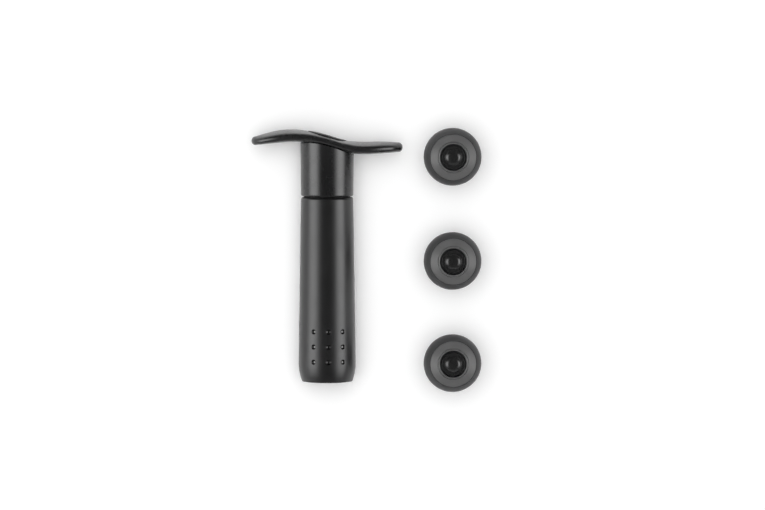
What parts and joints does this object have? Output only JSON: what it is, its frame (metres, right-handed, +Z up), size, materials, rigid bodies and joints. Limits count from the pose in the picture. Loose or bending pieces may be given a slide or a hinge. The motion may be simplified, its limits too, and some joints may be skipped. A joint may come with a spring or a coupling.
{
  "type": "wine vacuum pump",
  "caption": "Hand vacuum pump for wine bottles with a wave-shaped cross handle and a flared barrel, lying beside its valved rubber stoppers",
  "frame": {"origin": "on the table, under the middle of the set's bounding box", "axes": "+Y runs along the pump from its mouth to its handle, +X from the pump to the stoppers, +Z up from the table"},
  "size_m": [0.1281, 0.148, 0.0342],
  "materials": {
    "casing_black": "satin moulded, fine grain",
    "sleeve_black": "semi-gloss moulded",
    "grip_black": "semi-gloss moulded",
    "cap_black": "satin moulded",
    "collar_black": "satin moulded",
    "base_black": "matte moulded",
    "liner_white": "polished bore",
    "rod_grey": "satin moulded",
    "screw_steel": "zinc plated",
    "seal_rubber": "smooth",
    "valve_rubber": "smooth",
    "stopper_rubber": "matte grey rubber",
    "ring_grey": "matte with fine turned lines",
    "dome_rubber": "glossy black rubber"
  },
  "bodies": {
    "barrel": {"barrel_casing": "casing_black", "cylinder_liner": "liner_white", "guide_collar": "collar_black", "rod_wiper": "seal_rubber", "base_plug": "base_black", "base_o_ring": "seal_rubber", "mouth_gasket": "seal_rubber"},
    "intake_valve": {"intake_valve": "valve_rubber"},
    "plunger": {"piston_rod": "rod_grey", "piston_head": "rod_grey", "piston_screw": "screw_steel", "handle_grip": "grip_black", "handle_screw": "screw_steel", "handle_cap": "cap_black", "neck_sleeve": "sleeve_black"},
    "piston_ring": {"piston_ring": "seal_rubber"},
    "stopper_1": {"stopper_1_plug": "stopper_rubber", "stopper_1_face_ring": "ring_grey"},
    "stopper_1_valve": {"stopper_1_valve": "dome_rubber"},
    "stopper_2": {"stopper_2_plug": "stopper_rubber", "stopper_2_face_ring": "ring_grey"},
    "stopper_2_valve": {"stopper_2_valve": "dome_rubber"},
    "stopper_3": {"stopper_3_plug": "stopper_rubber", "stopper_3_face_ring": "ring_grey"},
    "stopper_3_valve": {"stopper_3_valve": "dome_rubber"}
  },
  "joints": [
    {"name": "plunger_slide", "type": "slide", "parent": "barrel", "child": "plunger", "axis": [0, 1, 0], "range_m": [0, 0.0707]},
    {"name": "piston_ring_float", "type": "slide", "parent": "plunger", "child": "piston_ring", "axis": [0, 1, 0], "range_m": [-0.001, 0]},
    {"name": "intake_valve_lift", "type": "slide", "parent": "barrel", "child": "intake_valve", "axis": [0, 1, 0], "range_m": [0, 0.0009], "stiffness_N_per_m": 20},
    {"name": "stopper_1_lift", "type": "slide", "parent": "barrel", "child": "stopper_1", "axis": [0, 0, 1], "range_m": [0, 0.06]},
    {"name": "stopper_1_valve_tilt", "type": "hinge", "parent": "stopper_1", "child": "stopper_1_valve", "pos_m": [0.04798, 0.0578, 0.025], "axis": [1, 0, 0], "range_deg": [-5, 5], "stiffness_Nm_per_rad": 0.005},
    {"name": "stopper_2_lift", "type": "slide", "parent": "barrel", "child": "stopper_2", "axis": [0, 0, 1], "range_m": [0, 0.06]},
    {"name": "stopper_2_valve_tilt", "type": "hinge", "parent": "stopper_2", "child": "stopper_2_valve", "pos_m": [0.04798, -0.0005, 0.025], "axis": [1, 0, 0], "range_deg": [-5, 5], "stiffness_Nm_per_rad": 0.005},
    {"name": "stopper_3_lift", "type": "slide", "parent": "barrel", "child": "stopper_3", "axis": [0, 0, 1], "range_m": [0, 0.06]},
    {"name": "stopper_3_valve_tilt", "type": "hinge", "parent": "stopper_3", "child": "stopper_3_valve", "pos_m": [0.04798, -0.0578, 0.025], "axis": [1, 0, 0], "range_deg": [-5, 5], "stiffness_Nm_per_rad": 0.005}
  ]
}
